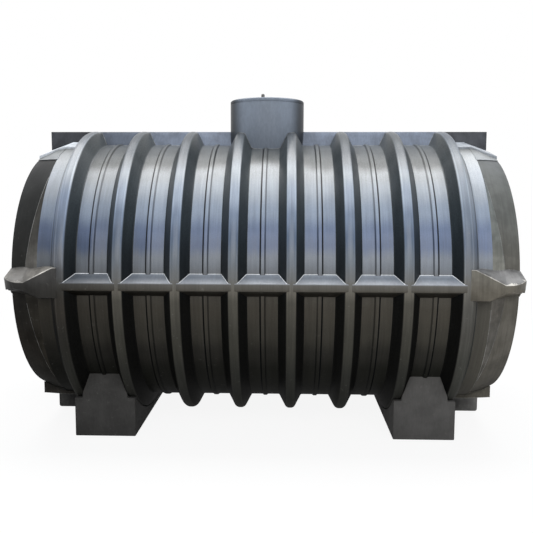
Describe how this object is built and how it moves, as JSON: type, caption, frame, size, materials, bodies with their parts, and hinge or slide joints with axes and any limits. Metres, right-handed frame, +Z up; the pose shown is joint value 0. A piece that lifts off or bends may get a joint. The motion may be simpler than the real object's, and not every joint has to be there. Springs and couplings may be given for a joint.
{
  "type": "septic tank",
  "caption": "Horizontal round septic tank of black plastic with ring ribs, a level side flange, two feet and a capped access shaft on top.",
  "frame": {"origin": "middle of the tank at ground level", "axes": "+X along the tank, -Y the front, +Z up"},
  "size_m": [2.716, 1.7, 1.974],
  "materials": {
    "barrel": "glossy black polyethylene, lightly scuffed",
    "ribs": "glossy black polyethylene, lightly scuffed",
    "crown_fins": "glossy black polyethylene, lightly scuffed",
    "bay_beads": "glossy black polyethylene, lightly scuffed",
    "side_flanges": "glossy black polyethylene, lightly scuffed",
    "end_caps": "glossy black polyethylene, lightly scuffed",
    "end_flanges": "glossy black polyethylene, lightly scuffed",
    "end_plates": "glossy black polyethylene, lightly scuffed",
    "feet": "glossy black polyethylene, lightly scuffed",
    "access_shaft": "glossy black polyethylene, lightly scuffed",
    "lid": "glossy black polyethylene, lightly scuffed",
    "lid_knob": "glossy black polyethylene, lightly scuffed"
  },
  "bodies": {
    "root": {"barrel": "barrel", "rib_1": "ribs", "rib_2": "ribs", "rib_3": "ribs", "rib_4": "ribs", "rib_5": "ribs", "rib_6": "ribs", "rib_7": "ribs", "rib_8": "ribs", "crown_fin_1": "crown_fins", "crown_fin_2": "crown_fins", "crown_fin_3": "crown_fins", "crown_fin_5": "crown_fins", "crown_fin_6": "crown_fins", "crown_fin_7": "crown_fins", "bay_bead_1": "bay_beads", "bay_bead_2": "bay_beads", "bay_bead_3": "bay_beads", "bay_bead_4": "bay_beads", "bay_bead_5": "bay_beads", "bay_bead_6": "bay_beads", "bay_bead_7": "bay_beads", "front_flange": "side_flanges", "back_flange": "side_flanges", "left_end_cap": "end_caps", "left_end_flange": "end_flanges", "left_upper_end_plate": "end_plates", "left_lower_end_plate": "end_plates", "left_foot": "feet", "right_end_cap": "end_caps", "right_end_flange": "end_flanges", "right_upper_end_plate": "end_plates", "right_lower_end_plate": "end_plates", "right_foot": "feet", "access_shaft": "access_shaft", "lid": "lid", "lid_knob": "lid_knob"}
  },
  "joints": []
}
